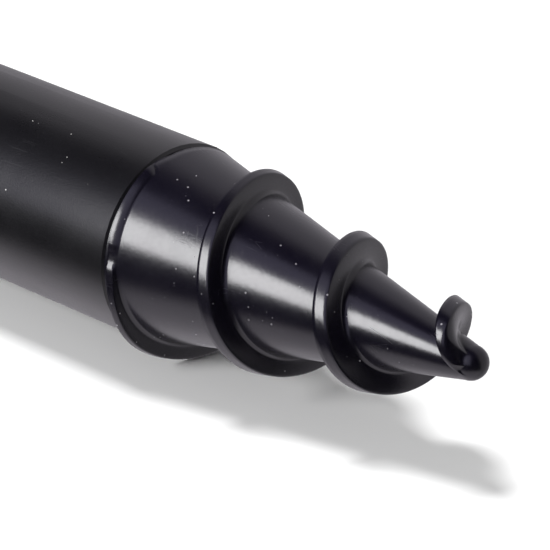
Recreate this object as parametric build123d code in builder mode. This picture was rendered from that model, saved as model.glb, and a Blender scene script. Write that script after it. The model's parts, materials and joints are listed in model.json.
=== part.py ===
"""Telescopic screw-point ground stake, collapsed, locked and lying level.

The stake's axis is the X axis. The origin is the centre of the rod-rest socket's mouth, +X runs towards the
screw point and +Z is up. Lengths are millimetres. The stations along the axis follow from the lengths, in the
order that the pieces stack: head, bumper, collar, outer tube, screw point.
"""

import os
from math import cos, radians, sin, sqrt

from build123d import *

os.makedirs("parts", exist_ok=True)

# ---- driving sizes ------------------------------------------------------------------------------------------
tube_diameter = 20.0  # outer tube, outside
tube_wall = 1.25
tube_length = 200.0
slide_diameter = 14.0  # inner tube, outside
slide_wall = 1.2
slide_length = 162.0
head_diameter = 20.0
head_length = 28.0
collar_diameter = 22.0
collar_length = 24.0
spigot_length = 26.0  # part of the collar inside the outer tube
core_length = 41.0  # screw point, from the tube's end to its tip
shank_length = 38.0  # screw point, inside the tube
bar_diameter = 6.0
bar_length = 90.0

# ---- fits and clearances ------------------------------------------------------------------------------------
slide_clearance = 0.05  # radial, inner tube in liner and wiper
bush_clearance = 0.05  # radial, guide bush in tube and on journal
spigot_clearance = 0.15  # radial, inner tube in the collar's bare bore
pad_clearance = 0.05  # radial, brake pad in its hole
pad_lift = 0.02  # clamped pad to inner tube, and stud to pad
thread_clearance = 0.05  # radial, thumb screw in the boss
bar_clearance = 0.05  # radial, cross bar in the head
closed_gap = 0.3  # bumper to collar when collapsed
end_gap = 0.3  # guide bush to the faces beside it
pin_inset = 0.3  # spring pins end below the inner tube's surface

# ---- small features -----------------------------------------------------------------------------------------
bumper_thickness = 1.7
bumper_diameter = 19.2
head_spigot_length = 16.0
socket_radius = 4.76  # 3/8 inch rod-rest thread
socket_depth = 14.0
insert_diameter = 13.0
tap_runout = 1.5
tap_drill_diameter = 8.0
bar_station = 20.5  # from the socket's mouth
flute_count = 24
flute_radius = 0.7
flute_length = 13.0
edge_break = 0.6
lip_length = 1.5
wiper_width = 1.5
wiper_wall = 1.95
liner_start_gap = 0.5
liner_length = 16.0
liner_wall = 1.15
liner_slit = 1.0
boss_diameter = 12.0
boss_height = 4.0  # over the collar's side
pad_diameter = 6.6
pad_thickness = 1.9
screw_diameter = 6.0
screw_pitch = 1.0
screw_turns = 1.5  # loosening that the thumb screw is given
knob_hub_gap = 1.2
knob_hub_diameter = 13.0
knob_hub_length = 2.0
knob_thickness = 9.8
knob_lobes = 6
lobe_gap_radius = 3.6
stud_head_width = 10.0
stud_head_height = 4.0
knob_cap_diameter = 12.0
knob_cap_depth = 3.0
knob_cap_dome = 0.6
journal_diameter = 10.0
plug_length = 14.0
bush_length = 12.0
clip_thickness = 1.0
clip_groove_depth = 0.8
clip_diameter = 13.6
clip_opening = 6.0
journal_tail = 2.0
head_pin_diameter = 3.0
plug_pin_diameter = 2.5
pin_wall = 0.4
pin_slit = 0.5
depth_ring_first = 40.0
depth_ring_pitch = 20.0
depth_ring_count = 6
depth_ring_width = 0.6
depth_ring_depth = 0.15
set_screw_station = 12.0  # from the collar's shoulder
set_screw_diameter = 3.0
set_screw_socket = 1.5
rivet_station = 33.0  # from the tube's lower end
rivet_diameter = 3.2
rivet_head_diameter = 5.2
rivet_head_height = 0.8
shank_bore = 11.0
shank_bore_depth = 31.0
seal_station = 6.0  # from the tube's lower end
seal_width = 1.8
seal_depth = 1.2
knob_ball_diameter = 12.0
knob_ball_length = 11.0
knob_ball_socket = 4.0
knob_ball_round = 3.0
bar_ring_width = 1.8
bar_ring_wall = 1.8
plunger_diameter = 4.0
plunger_inset = 0.6
plunger_slot_width = 0.8
plunger_slot_depth = 0.8

# ---- screw point --------------------------------------------------------------------------------------------
shoulder_step = 0.12  # the core's shoulder sits this far inside the tube's edge
shoulder_break = 0.3  # on the tube's rims
moulded_break = 0.05  # on the core's shoulder
core_end_radius = 1.7  # radius of the rounded nub
flight_pitch = 13.3
flight_root = 0.9  # how deep each section starts inside the core
flight_first_angle = 108.0  # degrees round from +Y, towards +Z
ridge_height = 0.3  # the flight starts as a low ridge along the tube's end
ridge_rise_angle = 15.0
flight_height = 1.62  # where the climb ends, growing from there towards the tip
flight_end_height = 2.6
flight_climb_angle = 155.0  # from here it climbs to its full height
flight_climb_span = 75.0
flight_fall_angle = 110.0
flight_end_gap = 0.85  # from the flight's last section to the tip
run_in_angle = 198.0  # the flight hugs the tube's end up to about here, then leads off
run_in_softness = 54.0
flight_highest_before_end = 130.0  # degrees
rim_thin = 0.8
rim_thick = 1.6
rim_thicken_angle = 330.0  # from here the rim thickens
rim_thicken_span = 290.0
rim_end_swell = 0.7  # extra thickness where the flight runs into the nub
rim_swell_before_end = 180.0  # degrees
rim_swell_span = 80.0
rim_end_share = 0.2  # of its thickness that the rim keeps at its last section
rim_draft = 0.35  # extra thickness at the root
section_step = 15.0

# ---- diameters that follow ----------------------------------------------------------------------------------
tube_bore = tube_diameter - 2 * tube_wall
slide_bore = slide_diameter - 2 * slide_wall
liner_bore = slide_diameter + 2 * slide_clearance
liner_diameter = liner_bore + 2 * liner_wall
wiper_diameter = liner_bore + 2 * wiper_wall
bar_ring_diameter = bar_diameter + 2 * bar_ring_wall

# ---- stations along X ---------------------------------------------------------------------------------------
collar_start = head_length + bumper_thickness + closed_gap
tube_start = collar_start + collar_length
tube_end = tube_start + tube_length
point_tip = tube_end + core_length
shank_start = tube_end - shank_length
slide_end = head_length + slide_length
bush_start = slide_end + end_gap
clip_start = bush_start + bush_length + end_gap
journal_end = clip_start + clip_thickness + journal_tail
wiper_start = collar_start + lip_length
liner_start = wiper_start + wiper_width + liner_start_gap
thumb_screw_station = liner_start + liner_length / 2
head_pin_station = head_length + head_spigot_length - 2 * head_pin_diameter
plug_pin_station = slide_end - plug_length / 2
set_screw_place = tube_start + set_screw_station
rivet_place = tube_end - rivet_station

# ---- shared radii -------------------------------------------------------------------------------------------
tube_radius = tube_diameter / 2
bore_radius = tube_bore / 2
slide_radius = slide_diameter / 2
pad_outer_reach = slide_radius + pad_lift + pad_thickness
pad_travel = screw_pitch * screw_turns
pocket_reach = pad_outer_reach + pad_travel + 0.2
stud_start = pad_outer_reach + pad_lift
boss_reach = collar_diameter / 2 + boss_height
knob_start = boss_reach + knob_hub_gap
knob_body_start = knob_start + knob_hub_length
knob_reach = knob_body_start + knob_thickness
stud_reach = knob_reach - knob_cap_depth
stud_head_start = stud_reach - stud_head_height
ring_inner_face = bar_length / 2 - knob_ball_socket - bar_ring_width

# ---- planes -------------------------------------------------------------------------------------------------
thumb_plane = Plane(origin=(thumb_screw_station, 0, 0), x_dir=(1, 0, 0), z_dir=(0, -1, 0))
bar_plane = Plane(origin=(bar_station, 0, 0), x_dir=(1, 0, 0), z_dir=(0, 1, 0))


def across(station, diameter, half_length, part_mode):
    """Adds or cuts a rod that runs vertically through the stake's axis."""
    with BuildSketch(Plane.XY) as outline:
        with Locations((station, 0)):
            Circle(diameter / 2)
    extrude(outline.sketch, amount=half_length, both=True, mode=part_mode)


def ring_between(start, length, outer_diameter, inner_diameter, part_mode=Mode.ADD):
    """Adds or cuts a ring about the stake's axis."""
    with BuildSketch(Plane.YZ.offset(start)) as outline:
        Circle(outer_diameter / 2)
        Circle(inner_diameter / 2, mode=Mode.SUBTRACT)
    extrude(outline.sketch, amount=length, mode=part_mode)


def rod_between(start, length, diameter, part_mode=Mode.ADD):
    """Adds or cuts a cylinder about the stake's axis."""
    with BuildSketch(Plane.YZ.offset(start)) as outline:
        Circle(diameter / 2)
    extrude(outline.sketch, amount=length, mode=part_mode)


def rod_on(plane, start, length, diameter, part_mode=Mode.ADD):
    """Adds or cuts a cylinder along a plane's normal."""
    with BuildSketch(plane.offset(start)) as outline:
        Circle(diameter / 2)
    extrude(outline.sketch, amount=length, mode=part_mode)


def write(part, label):
    """Labels one finished piece and writes its STEP file."""
    part.label = label
    export_step(part, f"parts/{label}.step")


# ---- outer tube ---------------------------------------------------------------------------------------------
with BuildPart() as outer_tube:
    ring_between(tube_start, tube_length, tube_diameter, tube_bore)
    tube_rims = outer_tube.edges().filter_by(GeomType.CIRCLE).sort_by(SortBy.RADIUS)[-2:]
    chamfer(tube_rims, shoulder_break)
    across(set_screw_place, set_screw_diameter, tube_diameter, Mode.SUBTRACT)
    across(rivet_place, rivet_diameter, tube_diameter, Mode.SUBTRACT)
write(outer_tube.part, "outer_tube")


# ---- screw point --------------------------------------------------------------------------------------------
shoulder_radius = tube_radius - shoulder_step
nub_centre = point_tip - core_end_radius
core_slope = (shoulder_radius - core_end_radius) / (nub_centre - tube_end)


def core_radius(station):
    """Radius of the bare core at a station: a cone, then the rounded nub."""
    past_centre = min(station - nub_centre, core_end_radius)
    if past_centre > 0:
        return sqrt(core_end_radius**2 - past_centre**2)
    return shoulder_radius - core_slope * (station - tube_end)


def ease(fraction):
    """Smooth step from 0 to 1."""
    held = min(max(fraction, 0.0), 1.0)
    return held * held * (3.0 - 2.0 * held)


def run_in(angle):
    """Angle that counts towards the pitch: near zero up to run_in_angle, then degree for degree."""
    lead = angle - run_in_angle
    return (lead + sqrt(lead**2 + run_in_softness**2)) / 2


last_run_in = run_in(flight_first_angle) + 360 * (core_length - moulded_break - flight_end_gap) / flight_pitch
flight_last_angle = run_in_angle + last_run_in - run_in_softness**2 / (4 * last_run_in)


def flight_station(angle):
    """Where the flight's rear edge is: it hugs the tube's end, then leads off at a steady pitch."""
    turned = run_in(angle) - run_in(flight_first_angle)
    return tube_end + moulded_break + flight_pitch * turned / 360


def flight_stand(angle):
    """Height of the flight over the core: a ridge, the climb, slow growth. Both ends sink under the core."""
    rise = ease((angle - flight_first_angle) / ridge_rise_angle)
    climb = ease((angle - flight_climb_angle) / flight_climb_span)
    fall = ease((flight_last_angle - angle) / flight_fall_angle)
    grown_from = flight_climb_angle + flight_climb_span
    grown_at = flight_last_angle - flight_highest_before_end
    growth = min(max((angle - grown_from) / (grown_at - grown_from), 0.0), 1.0)
    full_height = flight_height + (flight_end_height - flight_height) * growth
    height = ridge_height + (full_height - ridge_height) * climb
    return (height + flight_root / 3) * rise * fall - flight_root / 3


def rim_thickness(angle):
    """Thin on the first turn, then thicker, widest beside the nub, and thinnest where the flight ends."""
    thicken = ease((angle - rim_thicken_angle) / rim_thicken_span)
    swell = ease((angle - flight_last_angle + rim_swell_before_end) / rim_swell_span)
    fall = ease((flight_last_angle - angle) / flight_fall_angle)
    thickness = rim_thin + (rim_thick - rim_thin) * thicken + rim_end_swell * swell
    return thickness * (rim_end_share + (1 - rim_end_share) * fall)


def flight_plane(angle):
    """Half plane through the axis: local X runs along the stake and local Y outwards."""
    turn = radians(angle)
    return Plane(origin=(0, 0, 0), x_dir=(1, 0, 0), z_dir=(0, -sin(turn), cos(turn)))


with BuildPart() as auger_point:
    with BuildSketch(Plane.XZ):
        with BuildLine():
            Polyline(
                (point_tip - core_end_radius, core_end_radius),
                (tube_end + moulded_break, core_radius(tube_end + moulded_break)),
                (tube_end, shoulder_radius - moulded_break),
                (tube_end, bore_radius),
                (shank_start + edge_break, bore_radius),
                (shank_start, bore_radius - edge_break),
                (shank_start, 0),
                (point_tip, 0),
            )
            ThreePointArc(
                (point_tip, 0),
                (nub_centre + core_end_radius * sqrt(0.5), core_end_radius * sqrt(0.5)),
                (nub_centre, core_end_radius),
            )
        make_face()
    revolve(axis=Axis.X)
    section_count = round((flight_last_angle - flight_first_angle) / section_step)
    for section in range(section_count + 1):
        angle = flight_first_angle + (flight_last_angle - flight_first_angle) * section / section_count
        rear = flight_station(angle)
        front = rear + rim_thickness(angle)
        stand = flight_stand(angle)
        foot = max(rear - rim_draft / 2, tube_end + moulded_break / 2)
        with BuildSketch(flight_plane(angle)):
            with BuildLine():
                Polyline(
                    (foot, core_radius(rear) - flight_root),
                    (rear, core_radius(rear) + stand),
                    (front, core_radius(front) + stand),
                    (front + rim_draft, core_radius(front) - flight_root),
                    close=True,
                )
            make_face()
    loft(ruled=False)
    rod_between(shank_start, shank_bore_depth, shank_bore, Mode.SUBTRACT)
    ring_between(tube_end - seal_station, seal_width, tube_bore, tube_bore - 2 * seal_depth, Mode.SUBTRACT)
    across(rivet_place, rivet_diameter, tube_diameter, Mode.SUBTRACT)
write(auger_point.part, "auger_point")

with BuildPart() as point_seal_ring:
    ring_between(tube_end - seal_station, seal_width, tube_bore, tube_bore - 2 * seal_depth)
write(point_seal_ring.part, "point_seal_ring")

with BuildPart() as point_rivets:
    across(rivet_place, rivet_head_diameter, tube_radius + rivet_head_height, Mode.ADD)
    rod_between(shank_start, shank_length, tube_diameter, Mode.SUBTRACT)
    across(rivet_place, rivet_diameter, tube_radius + rivet_head_height, Mode.ADD)
    rod_between(shank_start, shank_length, shank_bore + 2, Mode.SUBTRACT)
write(point_rivets.part, "point_rivets")


# ---- lock collar and what sits in it ------------------------------------------------------------------------
with BuildPart() as lock_collar:
    rod_between(collar_start, collar_length, collar_diameter)
    chamfer(lock_collar.edges().filter_by(GeomType.CIRCLE), edge_break)
    rod_between(tube_start, spigot_length, tube_bore)
    rod_on(thumb_plane, 0, boss_reach, boss_diameter)
    chamfer(lock_collar.edges().filter_by(GeomType.CIRCLE).sort_by(Axis.Y)[0], edge_break)
    bare_bore = slide_diameter + 2 * spigot_clearance
    rod_between(collar_start, collar_length + spigot_length, bare_bore, Mode.SUBTRACT)
    rod_between(wiper_start, wiper_width, wiper_diameter, Mode.SUBTRACT)
    rod_between(liner_start, liner_length, liner_diameter, Mode.SUBTRACT)
    rod_on(thumb_plane, 0, pocket_reach, pad_diameter + 2 * pad_clearance, Mode.SUBTRACT)
    rod_on(thumb_plane, 0, boss_reach, screw_diameter + 2 * thread_clearance, Mode.SUBTRACT)
    across(set_screw_place, set_screw_diameter, tube_diameter, Mode.SUBTRACT)
write(lock_collar.part, "lock_collar")

with BuildPart() as collar_liner:
    ring_between(liner_start, liner_length, liner_diameter, liner_bore)
    rod_on(thumb_plane, 0, liner_diameter, pad_diameter + 2 * pad_clearance, Mode.SUBTRACT)
    with BuildSketch(Plane.XY):
        with Locations((liner_start + liner_length / 2, 0)):
            Rectangle(liner_length, liner_slit)
    extrude(amount=liner_diameter, mode=Mode.SUBTRACT)
write(collar_liner.part, "collar_liner")

with BuildPart() as collar_wiper:
    ring_between(wiper_start, wiper_width, wiper_diameter, liner_bore)
write(collar_wiper.part, "collar_wiper")

with BuildPart() as collar_screws:
    across(set_screw_place, set_screw_diameter, tube_radius - pin_inset, Mode.ADD)
    inner_end = slide_diameter + 2 * spigot_clearance + pin_inset
    rod_between(tube_start, spigot_length, inner_end, Mode.SUBTRACT)
    for side in (-1, 1):
        with BuildSketch(Plane.XY.offset(side * (tube_radius - pin_inset))):
            with Locations((set_screw_place, 0)):
                RegularPolygon(set_screw_socket / 2, 6, major_radius=False)
        extrude(amount=-side * set_screw_socket, mode=Mode.SUBTRACT)
write(collar_screws.part, "collar_screws")


# ---- brake pad and thumb screw ------------------------------------------------------------------------------
with BuildPart() as brake_pad:
    rod_on(thumb_plane, 0, pad_outer_reach, pad_diameter)
    rod_between(liner_start, liner_length, slide_diameter + 2 * pad_lift, Mode.SUBTRACT)
write(brake_pad.part, "brake_pad")

with BuildPart() as thumb_screw_stud:
    rod_on(thumb_plane, stud_start, stud_reach - stud_start, screw_diameter)
    chamfer(thumb_screw_stud.edges().filter_by(GeomType.CIRCLE).sort_by(Axis.Y)[-1], edge_break)
    with BuildSketch(thumb_plane.offset(stud_head_start)):
        RegularPolygon(stud_head_width / 2, 6, major_radius=False)
    extrude(amount=stud_head_height)
write(thumb_screw_stud.part, "thumb_screw_stud")

with BuildPart() as thumb_screw_knob:
    lobe_gap_centre = collar_diameter / 2 + lobe_gap_radius / 2
    with BuildSketch(thumb_plane.offset(knob_body_start)):
        Circle(collar_diameter / 2)
        with PolarLocations(lobe_gap_centre, knob_lobes):
            Circle(lobe_gap_radius, mode=Mode.SUBTRACT)
    extrude(amount=knob_reach - knob_body_start)
    fillet(thumb_screw_knob.faces().sort_by(Axis.Y)[0].edges(), edge_break)
    fillet(thumb_screw_knob.faces().sort_by(Axis.Y)[-1].edges(), edge_break)
    rod_on(thumb_plane, knob_start, knob_hub_length, knob_hub_diameter)
    rod_on(thumb_plane, knob_start, knob_reach, screw_diameter, Mode.SUBTRACT)
    with BuildSketch(thumb_plane.offset(stud_head_start)):
        RegularPolygon(stud_head_width / 2, 6, major_radius=False)
    extrude(amount=stud_head_height, mode=Mode.SUBTRACT)
    rod_on(thumb_plane, stud_reach, knob_reach - stud_reach, knob_cap_diameter, Mode.SUBTRACT)
write(thumb_screw_knob.part, "thumb_screw_knob")

with BuildPart() as thumb_screw_cap:
    rod_on(thumb_plane, stud_reach, knob_reach - stud_reach + knob_cap_dome, knob_cap_diameter)
    fillet(thumb_screw_cap.edges().sort_by(Axis.Y)[0], knob_cap_dome * 0.8)
write(thumb_screw_cap.part, "thumb_screw_cap")


# ---- inner tube, its plug and the guide bush ----------------------------------------------------------------
with BuildPart() as inner_tube:
    ring_between(head_length, slide_length, slide_diameter, slide_bore)
    for ring in range(depth_ring_count):
        ring_start = head_length + depth_ring_first + ring * depth_ring_pitch
        groove_diameter = slide_diameter - 2 * depth_ring_depth
        ring_between(ring_start, depth_ring_width, slide_diameter, groove_diameter, Mode.SUBTRACT)
    across(head_pin_station, head_pin_diameter, slide_diameter, Mode.SUBTRACT)
    across(plug_pin_station, plug_pin_diameter, slide_diameter, Mode.SUBTRACT)
write(inner_tube.part, "inner_tube")

with BuildPart() as tube_end_plug:
    rod_between(slide_end - plug_length, plug_length, slide_bore)
    rod_between(slide_end, journal_end - slide_end, journal_diameter)
    chamfer(tube_end_plug.edges().sort_by(Axis.X)[-1], edge_break)
    groove_diameter = journal_diameter - 2 * clip_groove_depth
    ring_between(clip_start, clip_thickness, journal_diameter, groove_diameter, Mode.SUBTRACT)
    across(plug_pin_station, plug_pin_diameter, slide_diameter, Mode.SUBTRACT)
write(tube_end_plug.part, "tube_end_plug")

with BuildPart() as bush_clip:
    ring_between(clip_start, clip_thickness, clip_diameter, journal_diameter - 2 * clip_groove_depth)
    with BuildSketch(Plane.XY):
        with Locations((clip_start + clip_thickness / 2, 0)):
            Rectangle(clip_thickness, clip_opening)
    extrude(amount=clip_diameter, mode=Mode.SUBTRACT)
write(bush_clip.part, "bush_clip")

with BuildPart() as guide_bush:
    bush_diameter = tube_bore - 2 * bush_clearance
    ring_between(bush_start, bush_length, bush_diameter, journal_diameter + 2 * bush_clearance)
    bush_rims = guide_bush.edges().filter_by(GeomType.CIRCLE).sort_by(SortBy.RADIUS)[-2:]
    chamfer(bush_rims, edge_break)
write(guide_bush.part, "guide_bush")


def make_spring_pin(station, diameter):
    """Cuts a rolled pin's bore and slit from the rod already in the part."""
    across(station, diameter - 2 * pin_wall, slide_diameter, Mode.SUBTRACT)
    with BuildSketch(Plane.XY.offset(-slide_diameter)) as outline:
        with Locations((station + diameter / 2, 0)):
            Rectangle(diameter, pin_slit)
    extrude(outline.sketch, amount=2 * slide_diameter, mode=Mode.SUBTRACT)


with BuildPart() as plug_pin:
    across(plug_pin_station, plug_pin_diameter, slide_radius - pin_inset, Mode.ADD)
    make_spring_pin(plug_pin_station, plug_pin_diameter)
write(plug_pin.part, "plug_pin")

with BuildPart() as head_pin:
    across(head_pin_station, head_pin_diameter, slide_radius - pin_inset, Mode.ADD)
    make_spring_pin(head_pin_station, head_pin_diameter)
write(head_pin.part, "head_pin")


# ---- head, insert, bumper and plunger -----------------------------------------------------------------------
with BuildPart() as top_head:
    rod_between(0, head_length, head_diameter)
    chamfer(top_head.edges().filter_by(GeomType.CIRCLE), edge_break)
    rod_between(head_length, head_spigot_length, slide_bore)
    with BuildSketch(Plane.YZ.offset(edge_break * 2)):
        with PolarLocations(head_diameter / 2 + flute_radius / 3, flute_count):
            Circle(flute_radius)
    extrude(amount=flute_length, mode=Mode.SUBTRACT)
    rod_between(0, socket_depth, insert_diameter, Mode.SUBTRACT)
    rod_between(socket_depth, tap_runout, tap_drill_diameter, Mode.SUBTRACT)
    bar_hole = bar_diameter + 2 * bar_clearance
    rod_on(bar_plane, -head_diameter, 2 * head_diameter, bar_hole, Mode.SUBTRACT)
    with BuildSketch(Plane.XY):
        with Locations((bar_station, 0)):
            Circle(plunger_diameter / 2)
    extrude(amount=head_diameter, mode=Mode.SUBTRACT)
    across(head_pin_station, head_pin_diameter, slide_diameter, Mode.SUBTRACT)
write(top_head.part, "top_head")

with BuildPart() as thread_insert:
    ring_between(0, socket_depth, insert_diameter, 2 * socket_radius)
write(thread_insert.part, "thread_insert")

with BuildPart() as head_bumper:
    ring_between(head_length, bumper_thickness, bumper_diameter, slide_diameter)
    bumper_rims = head_bumper.edges().filter_by(GeomType.CIRCLE).sort_by(SortBy.RADIUS)[-2:]
    fillet(bumper_rims, bumper_thickness / 3)
write(head_bumper.part, "head_bumper")

with BuildPart() as bar_plunger:
    nose_height = bar_diameter / 2 + bar_clearance
    plunger_top = head_diameter / 2 - plunger_inset
    with BuildSketch(Plane.XY.offset(nose_height)):
        with Locations((bar_station, 0)):
            Circle(plunger_diameter / 2)
    extrude(amount=plunger_top - nose_height)
    chamfer(bar_plunger.edges().filter_by(GeomType.CIRCLE).sort_by(Axis.Z)[0], edge_break)
    with BuildSketch(Plane.XY.offset(plunger_top)):
        with Locations((bar_station, 0)):
            Rectangle(plunger_diameter, plunger_slot_width)
    extrude(amount=-plunger_slot_depth, mode=Mode.SUBTRACT)
write(bar_plunger.part, "bar_plunger")


# ---- cross bar ----------------------------------------------------------------------------------------------
with BuildPart() as tommy_bar:
    rod_on(bar_plane, -bar_length / 2, bar_length, bar_diameter)
write(tommy_bar.part, "tommy_bar")

for side_name, turn in (("left", 0), ("right", 180)):
    side_plane = bar_plane.rotated((turn, 0, 0))
    knob_face = bar_length / 2 - knob_ball_socket
    with BuildPart() as bar_knob:
        rod_on(side_plane, knob_face, knob_ball_length, knob_ball_diameter)
        fillet(bar_knob.edges().filter_by(GeomType.CIRCLE), knob_ball_round)
        rod_on(side_plane, knob_face, knob_ball_socket, bar_diameter, Mode.SUBTRACT)
    write(bar_knob.part, f"bar_knob_{side_name}")

    with BuildPart() as bar_ring:
        rod_on(side_plane, ring_inner_face, bar_ring_width, bar_ring_diameter)
        fillet(bar_ring.edges().filter_by(GeomType.CIRCLE), bar_ring_width / 3)
        rod_on(side_plane, ring_inner_face, bar_ring_width, bar_diameter, Mode.SUBTRACT)
    write(bar_ring.part, f"bar_ring_{side_name}")
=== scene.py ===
# %% [markdown]
# # A screw-point ground stake
#
# The stake arrives as a imported CAD frame: tubes, collar, thumb screw, head and cross bar, each already in
# its place. This notebook gives it its looks. It starts with the frame itself, because the places it gives,
# such as the tube's radius and end, the point's tip and the floor's level, are measured from it and not
# typed in again.

# %% Load the frame
import json
import math

import bmesh
import bpy
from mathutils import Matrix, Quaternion, Vector


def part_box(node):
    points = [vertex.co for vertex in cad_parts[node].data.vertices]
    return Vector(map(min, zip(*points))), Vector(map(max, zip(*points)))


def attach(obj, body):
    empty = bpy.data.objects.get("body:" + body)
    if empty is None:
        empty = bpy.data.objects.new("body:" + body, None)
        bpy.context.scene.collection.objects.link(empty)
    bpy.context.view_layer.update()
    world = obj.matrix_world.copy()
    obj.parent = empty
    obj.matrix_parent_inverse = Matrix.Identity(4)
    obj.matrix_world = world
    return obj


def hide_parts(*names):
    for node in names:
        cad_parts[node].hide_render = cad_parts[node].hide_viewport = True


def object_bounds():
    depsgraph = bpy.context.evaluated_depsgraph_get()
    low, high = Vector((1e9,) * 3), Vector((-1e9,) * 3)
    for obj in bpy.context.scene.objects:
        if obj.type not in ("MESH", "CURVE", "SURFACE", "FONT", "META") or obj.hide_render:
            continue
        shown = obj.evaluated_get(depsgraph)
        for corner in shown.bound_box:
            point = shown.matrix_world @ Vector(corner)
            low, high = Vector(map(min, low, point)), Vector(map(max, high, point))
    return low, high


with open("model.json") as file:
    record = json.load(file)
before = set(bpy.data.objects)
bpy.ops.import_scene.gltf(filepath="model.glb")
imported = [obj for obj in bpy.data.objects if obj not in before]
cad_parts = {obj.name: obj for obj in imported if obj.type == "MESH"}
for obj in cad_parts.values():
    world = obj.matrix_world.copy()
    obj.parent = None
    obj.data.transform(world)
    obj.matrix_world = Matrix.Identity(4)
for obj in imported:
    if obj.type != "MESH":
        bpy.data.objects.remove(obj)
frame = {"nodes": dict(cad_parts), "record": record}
frame_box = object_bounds()
MM = 0.001


def plain_box(corners):
    """A pair of corners as plain lists, ready for json."""
    return [[float(value) for value in corner] for corner in corners]


print("frame box in mm:", [[round(v / MM, 1) for v in corner] for corner in plain_box(frame_box)])

# %% Places that the frame gives
tube_low, tube_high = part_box("outer_tube")
point_low, point_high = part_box("auger_point")
seal_low, seal_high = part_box("point_seal_ring")

tube_radius = (tube_high[2] - tube_low[2]) / 2
tube_end = tube_high[0]
tip = point_high[0]
shank_start = point_low[0]
bore_radius = (seal_high[2] - seal_low[2]) / 2
floor_level = frame_box[0][2]
core_length = tip - tube_end

print("tube radius", round(tube_radius / MM, 2), "mm")
print("point", round(core_length / MM, 2), "mm beyond the tube")

# %% [markdown]
# ## The camera
#
# A product photographer shoots a small object from well back with a long lens, so that its lines stay
# nearly parallel. The camera is put on a line from the point it looks at, given as two angles and a
# distance.

# %% Camera
look_at = Vector((tube_end + 1.61 * tube_radius, -0.26 * tube_radius, 0.24 * tube_radius))
camera_azimuth = math.radians(46.35)
camera_elevation = math.radians(23.6)
camera_distance = 44.8 * tube_radius
lens_length = 310.8

back = Vector(
    (
        math.sin(camera_azimuth) * math.cos(camera_elevation),
        -math.cos(camera_azimuth) * math.cos(camera_elevation),
        math.sin(camera_elevation),
    )
)
camera_data = bpy.data.cameras.new("camera")
camera_data.lens = lens_length
camera_data.clip_start = 0.01
camera_data.clip_end = 20.0
camera = bpy.data.objects.new("camera", camera_data)
camera.location = look_at + back * camera_distance
camera_roll = Quaternion((0.0, 0.0, 1.0), math.radians(-0.6))
camera.rotation_euler = (back.to_track_quat("Z", "Y") @ camera_roll).to_euler()
bpy.context.scene.collection.objects.link(camera)
bpy.context.scene.camera = camera
print("camera", round(camera_distance, 3), "m away, lens", lens_length, "mm")

# %% [markdown]
# ## A way to write node arithmetic
#
# Both Geometry Nodes and shaders are graphs of small arithmetic nodes. Wiring twenty of them by hand
# hides the formula they stand for. `Flow` wraps one socket, so that `radius * 2 + gap` adds the nodes and
# the links, and the script reads like the formula.


# %% Flow: sockets that add up
class Flow:
    """A value that flows through a node tree. Its arithmetic adds Math nodes."""

    def __init__(self, tree, socket):
        self.tree = tree
        self.socket = socket

    def _math(self, operation, *others, clamp=False):
        node = self.tree.nodes.new("ShaderNodeMath")
        node.operation = operation
        node.use_clamp = clamp
        for slot, value in zip(node.inputs, (self, *others)):
            if isinstance(value, Flow):
                self.tree.links.new(value.socket, slot)
            else:
                slot.default_value = value
        return Flow(self.tree, node.outputs[0])

    def __add__(self, other):
        return self._math("ADD", other)

    def __sub__(self, other):
        return self._math("SUBTRACT", other)

    def __rsub__(self, other):
        return self._math("MULTIPLY_ADD", -1.0, other)

    def __mul__(self, other):
        return self._math("MULTIPLY", other)

    def __truediv__(self, other):
        return self._math("DIVIDE", other)

    __radd__ = __add__
    __rmul__ = __mul__

    def least(self, other):
        return self._math("MINIMUM", other)

    def most(self, other):
        return self._math("MAXIMUM", other)

    def root(self):
        return self.most(0.0)._math("SQRT")

    def sine(self):
        return self._math("SINE")

    def cosine(self):
        return self._math("COSINE")

    def over(self, limit):
        return self._math("GREATER_THAN", limit)

    def span(self, start, end, low=0.0, high=1.0, shape="LINEAR"):
        """low up to start, high from end on, and the chosen shape of step between them."""
        node = self.tree.nodes.new("ShaderNodeMapRange")
        node.interpolation_type = shape
        node.clamp = True
        names = ("Value", "From Min", "From Max", "To Min", "To Max")
        for name, value in zip(names, (self, start, end, low, high)):
            if isinstance(value, Flow):
                self.tree.links.new(value.socket, node.inputs[name])
            else:
                node.inputs[name].default_value = value
        return Flow(self.tree, node.outputs["Result"])


def join(tree, kind, x, y, z):
    """A vector from three values."""
    node = tree.nodes.new(kind)
    for slot, value in zip(node.inputs, (x, y, z)):
        if isinstance(value, Flow):
            tree.links.new(value.socket, slot)
        else:
            slot.default_value = value
    return node.outputs[0]


# %% [markdown]
# ## The screw point
#
# The real point is moulded in one piece: a tapered core, one thin flight that winds round it like a
# thread, and a blunt nub at the tip. Its shape follows a rule, so Geometry Nodes suit it better than
# pushing vertices about. The whole surface is one ribbon, wound round the stake. Along the ribbon runs
# the angle, from one turn before the flight begins to where the winding reaches the tip. Across it run,
# in order, the flight's rear face, its rim, its front face, the moulded fillet at its foot, and the bare
# core up to the next turn's rear face. Where the flight fades out, its share of the ribbon shrinks to
# nothing. The flight starts as a low ridge along the tube's end, has a notch where the mould's halves
# met, climbs, grows a little all the way along and runs out into the nub. Before it starts, the
# shoulder's lip is cut back. Each edge of the ribbon meets the next turn's other edge, so merging by
# distance closes the surface.

# %% Sizes of the point
shoulder_edge = 0.05 * MM
pitch = 13.3 * MM
first_angle = 108.0
run_in_angle = 198.0
run_in_softness = 54.0
end_gap = 0.85 * MM
lip_start = (-80.0, -20.0)
lip_end = (98.0, 106.0)


def counted_angle(turned):
    """Angle that counts towards the pitch: it starts slowly, then goes degree for degree."""
    lead = turned - run_in_angle
    return (lead + math.sqrt(lead * lead + run_in_softness * run_in_softness)) / 2


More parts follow.
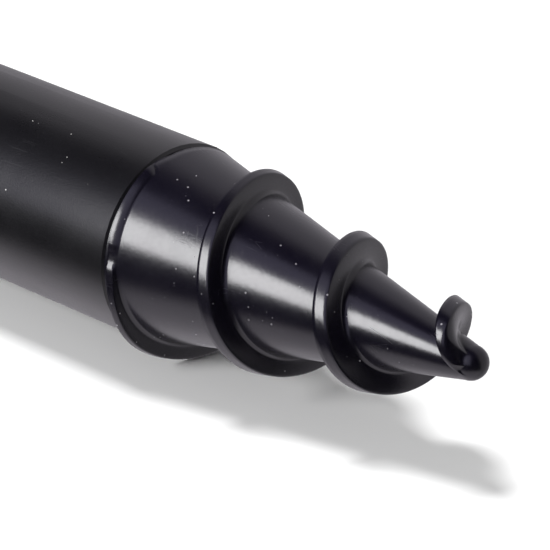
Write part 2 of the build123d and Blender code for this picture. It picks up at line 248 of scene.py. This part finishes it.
last_counted = counted_angle(first_angle) + 360 * (core_length - shoulder_edge - end_gap) / pitch
last_angle = run_in_angle + last_counted - run_in_softness**2 / (4 * last_counted)
sizes = {
    "Tube End": tube_end,
    "Tip": tip,
    "Shoulder Radius": tube_radius - 0.12 * MM,
    "Shoulder Break": shoulder_edge,
    "Nub Radius": 1.7 * MM,
    "Pitch": pitch,
    "First Angle": first_angle,
    "Last Angle": last_angle,
    "Run In Angle": run_in_angle,
    "Run In Softness": run_in_softness,
    "Ridge Height": 0.28 * MM,
    "Ridge Rise Angle": 8.0,
    "Flight Height": 1.62 * MM,
    "Climb Angle": 168.0,
    "Climb Span": 62.0,
    "Fall Angle": 110.0,
    "End Height": 2.6 * MM,
    "Highest Before End": 130.0,
    "Rim Thin": 0.8 * MM,
    "Rim Thick": 1.6 * MM,
    "Ridge Width": 0.3 * MM,
    "Ridge Draft": 0.6 * MM,
    "Thicken Angle": 330.0,
    "Thicken Span": 290.0,
    "Rim End Share": 0.2,
    "Edge Round": 0.13 * MM,
    "Front Draft": 0.13 * MM,
    "End Draft": 2.2 * MM,
    "Notch Angle": 171.0,
    "Lip": 0.3 * MM,
    "Fillet Length": 0.5 * MM,
    "Fillet Rise": 0.22 * MM,
    "Rear Fillet Rise": 0.1 * MM,
    "Wobble": 0.035 * MM,
}
degrees_per_column = 2.25
ribbon_degrees = 360.0 + 1215.0
column_count = round(ribbon_degrees / degrees_per_column) + 1
rows = {"rear": 8, "rim": 4, "front": 8, "fillet": 8, "core": 22}
row_total = sum(rows.values())
print("flight: from", first_angle, "to", round(last_angle, 1), "degrees")
print("ribbon:", column_count, "columns by", row_total + 1, "rows")

# %% Build the ribbon's node tree
ribbon_tree = bpy.data.node_groups.new("screw_point_ribbon", "GeometryNodeTree")
ribbon_tree.interface.new_socket("Geometry", in_out="OUTPUT", socket_type="NodeSocketGeometry")
for size_name, size_value in sizes.items():
    socket = ribbon_tree.interface.new_socket(size_name, in_out="INPUT", socket_type="NodeSocketFloat")
    socket.default_value = size_value
ribbon_tree.interface.new_socket("Finish", in_out="INPUT", socket_type="NodeSocketMaterial")

group_in = ribbon_tree.nodes.new("NodeGroupInput")
group_out = ribbon_tree.nodes.new("NodeGroupOutput")
given = {name: Flow(ribbon_tree, group_in.outputs[name]) for name in sizes}

grid = ribbon_tree.nodes.new("GeometryNodeMeshGrid")
grid.inputs["Size X"].default_value = 1.0
grid.inputs["Size Y"].default_value = 1.0
grid.inputs["Vertices X"].default_value = column_count
grid.inputs["Vertices Y"].default_value = row_total + 1
grid_place = ribbon_tree.nodes.new("GeometryNodeInputPosition")
grid_split = ribbon_tree.nodes.new("ShaderNodeSeparateXYZ")
ribbon_tree.links.new(grid_place.outputs[0], grid_split.inputs[0])
along = Flow(ribbon_tree, grid_split.outputs["X"]) + 0.5
across = Flow(ribbon_tree, grid_split.outputs["Y"]) + 0.5
angle = along * ribbon_degrees + given["First Angle"] - 360.0

# %% Where the flight is at each angle


def run_in(turned):
    """Angle that counts towards the pitch: it starts slowly, then goes degree for degree."""
    lead = turned - given["Run In Angle"]
    softness = given["Run In Softness"]
    return (lead + (lead * lead + softness * softness).root()) * 0.5


def rear_edge(turned):
    """Station of the flight's rear edge, held at the shoulder before it and at the tip after it."""
    gained = run_in(turned.most(given["First Angle"])) - run_in(given["First Angle"])
    station = given["Tube End"] + given["Shoulder Break"] + given["Pitch"] * gained / 360.0
    return station.least(given["Tip"])


def after(start, span):
    """0 up to an angle, 1 from a span beyond it, and a smooth step between."""
    return angle.span(start, start + span, shape="SMOOTHSTEP")


def before_end(turned):
    """1 along the flight and 0 from its last angle on."""
    last = given["Last Angle"]
    return turned.span(last - given["Fall Angle"], last, 1.0, 0.0, shape="SMOOTHSTEP")


def started(turned):
    """0 where the flight has not begun, 1 where it has."""
    first = given["First Angle"]
    return turned.span(first, first + given["Ridge Rise Angle"], shape="SMOOTHSTEP")


here = rear_edge(angle)
gap = rear_edge(angle + 360.0) - here
end_fade = before_end(angle)
flight_fade = started(angle) * end_fade
next_fade = started(angle + 360.0) * before_end(angle + 360.0)
width_fade = started(angle) * (end_fade * 3.0).least(1.0)

climb = after(given["Climb Angle"], given["Climb Span"])
highest = given["Last Angle"] - given["Highest Before End"]
grown = angle.span(given["Climb Angle"] + given["Climb Span"], highest)
full_height = given["Flight Height"] + (given["End Height"] - given["Flight Height"]) * grown
notch = after(given["Notch Angle"] - 7.0, 3.0) * (1.0 - after(given["Notch Angle"] + 1.0, 5.0))
height = given["Ridge Height"] + (full_height - given["Ridge Height"]) * climb
height = height * (1.0 - notch * 0.9) * flight_fade

past_ridge = after(given["Climb Angle"], 12.0)
thicken = after(given["Thicken Angle"], given["Thicken Span"])
ending = after(given["Last Angle"] - 115.0, 60.0)
rim_here = given["Rim Thin"] + (given["Rim Thick"] - given["Rim Thin"]) * thicken
rim_here = rim_here * (1.0 - ending * 0.6)
thickness = given["Ridge Width"] + (rim_here - given["Ridge Width"]) * past_ridge
thickness = thickness * (given["Rim End Share"] + (1.0 - given["Rim End Share"]) * end_fade)
lip = given["Lip"] * angle.span(*lip_start) * angle.span(*lip_end, 1.0, 0.0)

# %% Across the ribbon: rear face, rim, front face, fillet, core
step = {}
row_so_far = 0
for stretch, count in rows.items():
    first_row = row_so_far / row_total
    row_so_far += count
    step[stretch] = (first_row, row_so_far / row_total)


def through(stretch, shape="LINEAR"):
    """0 before a stretch of rows, 1 after it."""
    return across.span(*step[stretch], shape=shape)


rear_width = given["Edge Round"] * width_fade
rim_width = (thickness - given["Edge Round"]).most(0.0).least(gap * 0.45) * width_fade
draft = given["Front Draft"] + given["Ridge Draft"] * (1.0 - past_ridge) + given["End Draft"] * ending
front_width = (given["Edge Round"] + draft).least(gap * 0.4) * width_fade + lip * (1.0 - width_fade)
fillet_width = given["Fillet Length"].least(gap * 0.1) * width_fade
bare_width = gap - (rear_width + rim_width + front_width + fillet_width)

core_share = through("core")
core_ease = 1.0 - (1.0 - core_share) * (1.0 - core_share)
station = (
    here
    + rear_width * through("rear")
    + rim_width * through("rim")
    + front_width * through("front")
    + fillet_width * through("fillet")
    + bare_width * core_ease
)

up = through("rear", "SMOOTHERSTEP")
front_share = through("front")
steep = through("front", "SMOOTHERSTEP")
down = steep + (front_share * front_share - steep) * ending.most(1.0 - past_ridge)
stand = height * (up - down) - lip * (1.0 - front_share)
fillet_left = 1.0 - through("fillet")
front_fillet = given["Fillet Rise"] * flight_fade * climb * fillet_left * fillet_left * down
core_first, core_last = step["core"]
late_core = across.span(core_last - (core_last - core_first) * 0.25, core_last)
rear_fillet = given["Rear Fillet Rise"] * (next_fade * late_core * late_core + flight_fade * (1.0 - up))
rear_fillet = rear_fillet * (1.0 - down * (1.0 - late_core.over(0.0)))

# %% Radius of the core, and the finished place of each vertex
nub_centre = given["Tip"] - given["Nub Radius"]
slope = (given["Shoulder Radius"] - given["Nub Radius"]) / (nub_centre - given["Tube End"])
cone_radius = given["Shoulder Radius"] - slope * (station - given["Tube End"])
past_nub = (station - nub_centre).most(0.0)
nub_radius = (given["Nub Radius"] * given["Nub Radius"] - past_nub * past_nub).root()
on_nub = station.over(nub_centre)
core_radius = cone_radius * (1.0 - on_nub) + nub_radius * on_nub

noise = ribbon_tree.nodes.new("ShaderNodeTexNoise")
noise.inputs["Scale"].default_value = 0.35 / MM
noise.inputs["Detail"].default_value = 2.0
turn_radians = angle * (math.pi / 180.0)
round_y = turn_radians.cosine()
round_z = turn_radians.sine()
bare_radius = core_radius + stand + front_fillet + rear_fillet
bare_place = join(ribbon_tree, "ShaderNodeCombineXYZ", station, bare_radius * round_y, bare_radius * round_z)
ribbon_tree.links.new(bare_place, noise.inputs["Vector"])
unevenness = (Flow(ribbon_tree, noise.outputs[0]) - 0.6) * given["Wobble"] * flight_fade * climb * (up - down)
radius = bare_radius + unevenness
place = join(ribbon_tree, "ShaderNodeCombineXYZ", station, radius * round_y, radius * round_z)

# %% Finish the tree: set the places, mark the rim, merge, and end with the material
set_place = ribbon_tree.nodes.new("GeometryNodeSetPosition")
ribbon_tree.links.new(grid.outputs["Mesh"], set_place.inputs["Geometry"])
ribbon_tree.links.new(place, set_place.inputs["Position"])

mark_rim = ribbon_tree.nodes.new("GeometryNodeStoreNamedAttribute")
mark_rim.data_type = "FLOAT"
mark_rim.domain = "POINT"
mark_rim.inputs["Name"].default_value = "rim"
ribbon_tree.links.new(set_place.outputs[0], mark_rim.inputs["Geometry"])
ribbon_tree.links.new(((up - down) * flight_fade * climb).socket, mark_rim.inputs["Value"])

merge = ribbon_tree.nodes.new("GeometryNodeMergeByDistance")
merge.inputs["Distance"].default_value = 0.002 * MM
ribbon_tree.links.new(mark_rim.outputs[0], merge.inputs["Geometry"])
smooth = ribbon_tree.nodes.new("GeometryNodeSetShadeSmooth")
ribbon_tree.links.new(merge.outputs[0], smooth.inputs["Geometry"])
realize = ribbon_tree.nodes.new("GeometryNodeRealizeInstances")
ribbon_tree.links.new(smooth.outputs[0], realize.inputs["Geometry"])
set_material = ribbon_tree.nodes.new("GeometryNodeSetMaterial")
ribbon_tree.links.new(realize.outputs[0], set_material.inputs["Geometry"])
ribbon_tree.links.new(group_in.outputs["Finish"], set_material.inputs["Material"])
ribbon_tree.links.new(set_material.outputs[0], group_out.inputs["Geometry"])
print("ribbon tree:", len(ribbon_tree.nodes), "nodes")

# %% [markdown]
# ## Finishes
#
# Four things make a small moulded or anodised part look real from close up: a faint unevenness in its
# gloss, fine scratches, specks of dust, and edges that have lost a little of their colour. The first three
# are built once, as node groups that put out masks, and every finish uses them with its own strength. The
# worn edge reads the rim that the ribbon marked, so only the point has it.

# %% A start for node groups
def start_group(name, numbers, outputs):
    """An empty shader group with a Vector and float inputs, and the wrapped sockets to build it with."""
    tree = bpy.data.node_groups.new(name, "ShaderNodeTree")
    tree.interface.new_socket("Vector", in_out="INPUT", socket_type="NodeSocketVector")
    for label, value in numbers.items():
        socket = tree.interface.new_socket(label, in_out="INPUT", socket_type="NodeSocketFloat")
        socket.default_value = value
    for label in outputs:
        tree.interface.new_socket(label, in_out="OUTPUT", socket_type="NodeSocketFloat")
    entry = tree.nodes.new("NodeGroupInput")
    leave = tree.nodes.new("NodeGroupOutput")
    return tree, entry, leave


def texture(tree, kind, vector, scale, **settings):
    """A texture node fed with a vector and a scale, which may be a number or a Flow."""
    node = tree.nodes.new(kind)
    tree.links.new(vector, node.inputs["Vector"])
    if isinstance(scale, Flow):
        tree.links.new(scale.socket, node.inputs["Scale"])
    else:
        node.inputs["Scale"].default_value = scale
    for name, value in settings.items():
        if name in node.inputs:
            node.inputs[name].default_value = value
        else:
            setattr(node, name, value)
    return node


# %% Dust: small specks, some places more than others
dust_numbers = {"Per Metre": 900.0, "Size": 0.12, "Amount": 0.5}
dust_tree, entry, leave = start_group("dust_specks", dust_numbers, ["Mask"])
size = Flow(dust_tree, entry.outputs["Size"])
amount = Flow(dust_tree, entry.outputs["Amount"])
density = Flow(dust_tree, entry.outputs["Per Metre"])
cells = texture(dust_tree, "ShaderNodeTexVoronoi", entry.outputs["Vector"], density, feature="F1")
cell_luck = dust_tree.nodes.new("ShaderNodeSeparateColor")
dust_tree.links.new(cells.outputs["Color"], cell_luck.inputs[0])
luck = Flow(dust_tree, cell_luck.outputs[0])
own_size = Flow(dust_tree, cell_luck.outputs[1])
near = Flow(dust_tree, cells.outputs["Distance"]).span(size * (own_size * own_size + 0.25), 0.0)
patches = texture(dust_tree, "ShaderNodeTexNoise", entry.outputs["Vector"], density * 0.12, Detail=3.0)
patchy = Flow(dust_tree, patches.outputs[0]).span(0.42, 0.66)
chosen = luck.over(1.0 - amount * patchy)
dust_mask = near.span(0.05, 0.55) * chosen
dust_tree.links.new(dust_mask.socket, leave.inputs["Mask"])

# %% Scratches: long thin cells, thinned out by noise
scratch_tree, entry, leave = start_group("fine_scratches", {"Per Metre": 400.0, "Amount": 0.5}, ["Mask"])
density = Flow(scratch_tree, entry.outputs["Per Metre"])
amount = Flow(scratch_tree, entry.outputs["Amount"])
scratch_masks = []
for turn_x, turn_y in ((0.35, 0.2), (-0.8, 0.9)):
    lay = scratch_tree.nodes.new("ShaderNodeMapping")
    lay.inputs["Rotation"].default_value = (turn_x, turn_y, turn_x - turn_y)
    lay.inputs["Scale"].default_value = (0.06, 1.0, 1.0)
    scratch_tree.links.new(entry.outputs["Vector"], lay.inputs["Vector"])
    lines = texture(scratch_tree, "ShaderNodeTexVoronoi", lay.outputs[0], density, feature="DISTANCE_TO_EDGE")
    line = Flow(scratch_tree, lines.outputs["Distance"]).span(0.0, 0.012, 1.0, 0.0)
    thin = texture(scratch_tree, "ShaderNodeTexNoise", entry.outputs["Vector"], density * 0.5, Detail=4.0)
    kept = Flow(scratch_tree, thin.outputs[0]).span(0.62 - 0.12 * amount, 0.72 - 0.12 * amount)
    scratch_masks.append(line * kept)
scratch_tree.links.new(scratch_masks[0].most(scratch_masks[1]).socket, leave.inputs["Mask"])

# %% Unevenness: slow drift in gloss and a fine surface grain
grain_numbers = {"Per Metre": 120.0, "Fineness": 25.0}
grain_tree, entry, leave = start_group("uneven_surface", grain_numbers, ["Drift", "Grain"])
density = Flow(grain_tree, entry.outputs["Per Metre"])
fineness = Flow(grain_tree, entry.outputs["Fineness"])
slow = texture(grain_tree, "ShaderNodeTexNoise", entry.outputs["Vector"], density, Detail=3.0)
fine = texture(grain_tree, "ShaderNodeTexNoise", entry.outputs["Vector"], density * fineness, Detail=2.0)
grain_tree.links.new(Flow(grain_tree, slow.outputs[0]).span(0.3, 0.7).socket, leave.inputs["Drift"])
grain_tree.links.new(Flow(grain_tree, fine.outputs[0]).span(0.3, 0.7).socket, leave.inputs["Grain"])
print("shared groups:", [t.name for t in (dust_tree, scratch_tree, grain_tree)])


# %% A start for finishes
def start_finish(name):
    """A new material with its Principled shader, its output and Object coordinates."""
    material = bpy.data.materials.new(name)
    material.use_nodes = True
    tree = material.node_tree
    shader = tree.nodes["Principled BSDF"]
    coordinates = tree.nodes.new("ShaderNodeTexCoord")
    return material, tree, shader, coordinates.outputs["Object"]


def place_group(tree, group, vector, **numbers):
    """A shared group placed in a material with its own numbers. Underscores stand for spaces."""
    node = tree.nodes.new("ShaderNodeGroup")
    node.node_tree = group
    tree.links.new(vector, node.inputs["Vector"])
    for name, value in numbers.items():
        node.inputs[name.replace("_", " ")].default_value = value
    return node


def tint(tree, mask, low, high):
    """A colour that goes from low to high with a mask."""
    node = tree.nodes.new("ShaderNodeMix")
    node.data_type = "RGBA"
    tree.links.new(mask.socket, node.inputs["Factor"])
    for socket, colour in ((node.inputs["A"], low), (node.inputs["B"], high)):
        if isinstance(colour, tuple):
            socket.default_value = (*colour, 1.0)
        else:
            tree.links.new(colour, socket)
    return node.outputs["Result"]


def bump(tree, shader, height, depth, normal_name="Normal"):
    """Feeds a height, in shares of depth metres, to the shader's normal."""
    node = tree.nodes.new("ShaderNodeBump")
    node.inputs["Distance"].default_value = depth
    node.inputs["Strength"].default_value = 1.0
    tree.links.new(height.socket, node.inputs["Height"])
    tree.links.new(node.outputs[0], shader.inputs[normal_name])


# %% [markdown]
# ### One recipe for the satin and moulded parts
#
# The stake's finishes differ in colour, gloss and wear, and not in kind, so one function builds them from
# a few words: a base colour, the colour where it has worn, how rough it is, and how much dust and how
# many scratches it carries.


# %% The recipe
def surface_finish(
    name, colour, worn, roughness, metallic=0.0, drift=0.06, grain=0.0, grain_depth=0.0, scratches=0.3,
    dust=0.3, per_metre=140.0, fineness=25.0, dust_colour=(0.55, 0.54, 0.53), dust_size=0.12,
    dust_per_metre=1100.0, rim_name=None,
):
    """Builds one finish with uneven gloss, grain, scratches and dust."""
    material, tree, shader, vector = start_finish(name)
    uneven = place_group(tree, grain_tree, vector, Per_Metre=per_metre, Fineness=fineness)
    scratched = place_group(tree, scratch_tree, vector, Per_Metre=per_metre * 3.0, Amount=scratches)
    dusty = place_group(tree, dust_tree, vector, Per_Metre=dust_per_metre, Size=dust_size, Amount=dust)
    drift_flow = Flow(tree, uneven.outputs["Drift"])
    grain_flow = Flow(tree, uneven.outputs["Grain"])
    scratch_flow = Flow(tree, scratched.outputs["Mask"])
    dust_flow = Flow(tree, dusty.outputs["Mask"])

    worn_mask = scratch_flow * 0.6 * scratches
    if rim_name:
        rim = tree.nodes.new("ShaderNodeAttribute")
        rim.attribute_name = rim_name
        edge = Flow(tree, rim.outputs["Fac"]).span(0.55, 1.0) * drift_flow.span(0.35, 0.9)
        worn_mask = worn_mask.most(edge * 0.5)
    shade = tint(tree, drift_flow * 0.35 + grain_flow * 0.15, colour, tuple(c * 1.3 + 0.0005 for c in colour))
    shade = tint(tree, worn_mask, shade, worn)
    shade = tint(tree, dust_flow, shade, dust_colour)
    tree.links.new(shade, shader.inputs["Base Color"])

    gloss = drift_flow * drift + grain_flow * grain + scratch_flow * 0.15 + (roughness - drift / 2)
    gloss = gloss + dust_flow * 0.6
    tree.links.new(gloss.span(0.02, 1.0, 0.02, 1.0).socket, shader.inputs["Roughness"])
    if grain_depth:
        bump(tree, shader, grain_flow - scratch_flow * 0.5 + dust_flow * 1.5, grain_depth)
    shader.inputs["Metallic"].default_value = metallic
    return material


# %% The stake's finishes
finishes = {
    "black_anodised_tube": surface_finish(
        "satin black tube", (0.0036, 0.0034, 0.0044), (0.03, 0.03, 0.032), 0.29, drift=0.05, grain=0.05,
        grain_depth=0.004 * MM, scratches=0.35, dust=0.25, fineness=40.0,
    ),
    "moulded_point": surface_finish(
        "moulded black point", (0.0034, 0.0028, 0.0062), (0.10, 0.095, 0.10), 0.22, drift=0.06, grain=0.03,
        grain_depth=0.0025 * MM, scratches=0.15, dust=0.36, fineness=18.0, rim_name="rim", dust_size=0.2,
        dust_colour=(0.26, 0.25, 0.27), dust_per_metre=1900.0,
    ),
    "satin_inner_tube": surface_finish(
        "satin silver tube", (0.52, 0.53, 0.55), (0.35, 0.35, 0.36), 0.30, metallic=1.0, grain=0.06,
        grain_depth=0.003 * MM, scratches=0.5, dust=0.15, fineness=50.0,
    ),
    "black_anodised_head": surface_finish(
        "satin black head", (0.010, 0.010, 0.012), (0.10, 0.10, 0.10), 0.31, drift=0.06, grain=0.05,
        grain_depth=0.004 * MM, scratches=0.5, dust=0.25, fineness=40.0,
    ),
    "black_anodised_collar": surface_finish(
        "satin black collar", (0.010, 0.010, 0.012), (0.10, 0.10, 0.10), 0.30, drift=0.06, grain=0.05,
        grain_depth=0.004 * MM, scratches=0.45, dust=0.25, fineness=40.0,
    ),
    "bright_steel": surface_finish(
        "bright turned steel", (0.56, 0.57, 0.58), (0.3, 0.3, 0.31), 0.22, metallic=1.0, grain=0.08,
        grain_depth=0.003 * MM, scratches=0.6, dust=0.1, fineness=50.0,
    ),
    "black_steel": surface_finish(
        "blackened steel", (0.045, 0.045, 0.05), (0.3, 0.3, 0.3), 0.38, metallic=0.7, drift=0.08, grain=0.06,
        grain_depth=0.003 * MM, scratches=0.5, dust=0.2,
    ),
    "insert_brass": surface_finish(
        "turned brass", (0.66, 0.46, 0.19), (0.4, 0.28, 0.12), 0.26, metallic=1.0, drift=0.1, grain=0.08,
        grain_depth=0.003 * MM, scratches=0.4, dust=0.1,
    ),
    "knob_plastic": surface_finish(
        "textured black knob", (0.022, 0.022, 0.024), (0.08, 0.08, 0.08), 0.52, drift=0.06, grain=0.12,
        grain_depth=0.03 * MM, scratches=0.25, dust=0.3, per_metre=200.0, fineness=18.0,
    ),
    "cap_plastic": surface_finish(
        "polished black cap", (0.018, 0.018, 0.02), (0.08, 0.08, 0.08), 0.2, drift=0.06, grain=0.03,
        grain_depth=0.002 * MM, scratches=0.4, dust=0.3,
    ),
    "white_bearing_plastic": surface_finish(
        "natural nylon", (0.72, 0.70, 0.64), (0.5, 0.48, 0.44), 0.45, drift=0.08, grain=0.05,
        grain_depth=0.006 * MM, scratches=0.4, dust=0.05,
    ),
    "black_rubber": surface_finish(
        "matt rubber", (0.018, 0.018, 0.018), (0.06, 0.06, 0.06), 0.75, drift=0.08, grain=0.1,
        grain_depth=0.015 * MM, scratches=0.1, dust=0.45, per_metre=260.0,
    ),
}
print("finishes:", len(finishes))

# %% Give each CAD piece its finish
slot_of_node = {part["node"]: part["material_slot"] for part in frame["record"]["subparts"]}
for node_name, node_object in frame["nodes"].items():
    node_object.data.materials.clear()
    node_object.data.materials.append(finishes[slot_of_node[node_name]])
print("finished CAD pieces:", len(slot_of_node))


# %% Run the ribbon and keep its mesh
def bake(holder, name):
    """The evaluated mesh of a Geometry Nodes object, as a plain object of its own."""
    depsgraph = bpy.context.evaluated_depsgraph_get()
    mesh = bpy.data.meshes.new_from_object(holder.evaluated_get(depsgraph))
    mesh.name = name
    holder.modifiers.clear()
    bpy.data.objects.remove(holder)
    piece = bpy.data.objects.new(name, mesh)
    bpy.context.scene.collection.objects.link(piece)
    return piece


holder = bpy.data.objects.new("ribbon_holder", bpy.data.meshes.new("ribbon_holder"))
bpy.context.scene.collection.objects.link(holder)
modifier = holder.modifiers.new("ribbon", "NODES")
modifier.node_group = ribbon_tree
for item in ribbon_tree.interface.items_tree:
    if item.item_type == "SOCKET" and item.in_out == "INPUT":
        if item.name == "Finish":
            modifier[item.identifier] = finishes["moulded_point"]
        else:
            modifier[item.identifier] = sizes[item.name]
screw_point = bake(holder, "screw_point")
print("ribbon baked:", len(screw_point.data.vertices), "vertices,", len(screw_point.data.polygons), "faces")

# %% [markdown]
# ### The shank
#
# The ribbon starts at the point's shoulder, just past the tube's end. Behind it come the shoulder's face
# and the shank that fills the tube. That is turned work, so its outline is a short list of corners, spun
# round the axis. Only the first two rings are not quite round, because they follow the lip, and the first
# is merged with the ribbon's edge. The tip's many small triangles are gathered in one vertex, so that the
# mesh closes.

# %% Add the shank to the point
shoulder_radius = sizes["Shoulder Radius"]
shoulder_break = sizes["Shoulder Break"]
shoulder_slope = (shoulder_radius - sizes["Nub Radius"]) / (core_length - sizes["Nub Radius"])
groove_radius = bore_radius - 1.2 * MM
shank_bore = 5.5 * MM
shank_bore_end = shank_start + 31.0 * MM
outline = [
    (tube_end + shoulder_break, shoulder_radius - shoulder_slope * shoulder_break),
    (tube_end, shoulder_radius - shoulder_break),
    (tube_end, bore_radius),
    (seal_high[0], bore_radius),
    (seal_high[0], groove_radius),
    (seal_low[0], groove_radius),
    (seal_low[0], bore_radius),
    (shank_start + 0.6 * MM, bore_radius),
    (shank_start, bore_radius - 0.6 * MM),
    (shank_start, shank_bore),
    (shank_bore_end, shank_bore),
    (shank_bore_end, 0.0),
]


def share(value, start, end):
    """0 up to start, 1 from end on, and a straight line between them."""
    return min(max((value - start) / (end - start), 0.0), 1.0)


def lip_at(turned):
    """How far the shoulder's lip is cut back, over the turn before the flight's first angle."""
    return sizes["Lip"] * share(turned, *lip_start) * (1.0 - share(turned, *lip_end))


ring_steps = round(360 / degrees_per_column)
first_turn = math.radians(sizes["First Angle"])
nub_start = tip - sizes["Nub Radius"]
shape = bmesh.new()
shape.from_mesh(screw_point.data)
rings = []
for place_x, place_radius in outline:
    ring = []
    for count in range(ring_steps):
        turned = first_turn + 2 * math.pi * (count / ring_steps - 1)
        here_radius = place_radius
        if place_radius > bore_radius:
            here_radius -= lip_at(math.degrees(turned))
        spot = (place_x, here_radius * math.cos(turned), here_radius * math.sin(turned))
        ring.append(shape.verts.new(spot))
    rings.append(ring)
for inner, outer in zip(rings, rings[1:]):
    for count in range(ring_steps):
        following = (count + 1) % ring_steps
        face = shape.faces.new((inner[count], inner[following], outer[following], outer[count]))
        face.smooth = True
bmesh.ops.remove_doubles(shape, verts=shape.verts, dist=0.006 * MM)
tip_verts = [vert for vert in shape.verts if vert.co.yz.length < 0.08 * MM and vert.co.x > nub_start]
bmesh.ops.pointmerge(shape, verts=tip_verts, merge_co=(tip, 0.0, 0.0))
bmesh.ops.dissolve_degenerate(shape, dist=0.001 * MM, edges=shape.edges)
bmesh.ops.holes_fill(shape, edges=[edge for edge in shape.edges if edge.is_boundary], sides=8)
bmesh.ops.recalc_face_normals(shape, faces=shape.faces)
open_edges = [edge for edge in shape.edges if not edge.is_manifold]
print("open edges left on the point:", len(open_edges))
shape.to_mesh(screw_point.data)
shape.free()
screw_point.data.materials.clear()
screw_point.data.materials.append(finishes["moulded_point"])
screw_point.data.polygons.foreach_set("material_index", [0] * len(screw_point.data.polygons))
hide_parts("auger_point")
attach(screw_point, "lower_stake")
print("screw point:", len(screw_point.data.polygons), "faces")

# %% [markdown]
# ## Floor and light
#
# Black gloss shows nothing but its surroundings, so the studio matters as much as the finish. The stake
# lies on a pale floor. A softbox low on the left draws the bright band along the point. A large dim panel
# round it gives the fainter band above, and a pale backdrop behind lifts the upper edge. Straight
# overhead and out in front the room is dark, which leaves the deep black between the bands.

# %% Floor
floor_mesh = bpy.data.meshes.new("floor")
floor_half = 3.5
floor_corners = [(floor_half * x, floor_half * y) for x, y in ((-1, -1), (1, -1), (1, 1), (-1, 1))]
floor_mesh.from_pydata([(*corner, floor_level) for corner in floor_corners], [], [(0, 1, 2, 3)])
floor = bpy.data.objects.new("floor", floor_mesh)
bpy.context.scene.collection.objects.link(floor)
floor_material = bpy.data.materials.new("pale floor")
floor_material.use_nodes = True
floor_shader = floor_material.node_tree.nodes["Principled BSDF"]
floor_shader.inputs["Base Color"].default_value = (0.9, 0.9, 0.9, 1.0)
floor_shader.inputs["Roughness"].default_value = 0.95
floor_shader.inputs["Specular IOR Level"].default_value = 0.0
floor_mesh.materials.append(floor_material)
floor.visible_glossy = False


# %% Softboxes
def softbox(name, toward, distance, width, height, radiance, in_gloss=True):
    """A rectangular area light facing the look-at point, as bright per area as asked for."""
    direction = Vector(toward).normalized()
    data = bpy.data.lights.new(name, "AREA")
    data.shape = "RECTANGLE"
    data.size = width
    data.size_y = height
    data.energy = radiance * math.pi * width * height
    light = bpy.data.objects.new(name, data)
    light.location = look_at + direction * distance
    light.rotation_euler = direction.to_track_quat("Z", "Y").to_euler()
    light.visible_glossy = in_gloss
    bpy.context.scene.collection.objects.link(light)
    print(name, round(data.energy, 1), "W")
    return light


softbox("low_left_softbox", (-0.32, -0.86, 0.385), 0.9, 0.42, 0.44, 15.0)
softbox("overhead_key", (-0.45, 0.10, 1.0), 1.0, 0.32, 0.32, 34.0, in_gloss=False)

# %% What the gloss sees of the room
world = bpy.data.worlds.new("studio")
world.use_nodes = True
room = world.node_tree
room.nodes.clear()
room_way = room.nodes.new("ShaderNodeTexCoord")
room_split = room.nodes.new("ShaderNodeSeparateXYZ")
room.links.new(room_way.outputs["Generated"], room_split.inputs[0])
way_x, way_y, way_z = (Flow(room, room_split.outputs[axis]) for axis in "XYZ")

backdrop = way_y.span(0.0, 0.5, shape="SMOOTHSTEP")
table = (way_z * -1.0).span(0.40, 0.68, shape="SMOOTHSTEP")
depth = (way_y * -1.0).most(0.02)
panel_side = way_x / depth
panel_rise = way_z / depth
panel = panel_side.span(-1.45, -1.1, shape="SMOOTHSTEP")
panel = panel * panel_side.span(0.6, 1.0, 1.0, 0.0, shape="SMOOTHSTEP")
panel = panel * panel_rise.span(0.05, 0.22, shape="SMOOTHSTEP")
panel = panel * panel_rise.span(2.0, 3.4, 1.0, 0.0, shape="SMOOTHSTEP")


def glow(mask, colour):
    """A colour as bright as its mask."""
    node = room.nodes.new("ShaderNodeVectorMath")
    node.operation = "SCALE"
    node.inputs[0].default_value = colour
    room.links.new(mask.socket, node.inputs["Scale"])
    return node.outputs[0]


def added(first, second):
    """The sum of two colours."""
    node = room.nodes.new("ShaderNodeVectorMath")
    node.operation = "ADD"
    room.links.new(first, node.inputs[0])
    room.links.new(second, node.inputs[1])
    return node.outputs[0]


table_left = table * (1.0 - backdrop)
behind = glow(backdrop.most(table * 0.9), (0.60, 0.575, 0.62))
seen_in_gloss = added(behind, glow(table_left, (0.45, 0.42, 0.46)))
seen_in_gloss = added(seen_in_gloss, glow(panel, (0.72, 0.69, 0.95)))
rays = room.nodes.new("ShaderNodeLightPath")
gloss_light = room.nodes.new("ShaderNodeBackground")
room.links.new(seen_in_gloss, gloss_light.inputs["Color"])
plain_light = room.nodes.new("ShaderNodeBackground")
camera_share = Flow(room, rays.outputs["Is Camera Ray"])
room.links.new((camera_share + 0.26).least(1.0).socket, plain_light.inputs["Strength"])
plain_light.inputs["Color"].default_value = (1.0, 1.0, 1.0, 1.0)
choose = room.nodes.new("ShaderNodeMixShader")
room.links.new(rays.outputs["Is Glossy Ray"], choose.inputs[0])
room.links.new(plain_light.outputs[0], choose.inputs[1])
room.links.new(gloss_light.outputs[0], choose.inputs[2])
room_out = room.nodes.new("ShaderNodeOutputWorld")
room.links.new(choose.outputs[0], room_out.inputs["Surface"])
bpy.context.scene.world = world
bpy.context.scene.view_settings.view_transform = "Standard"
print("studio:", len(room.nodes), "nodes")
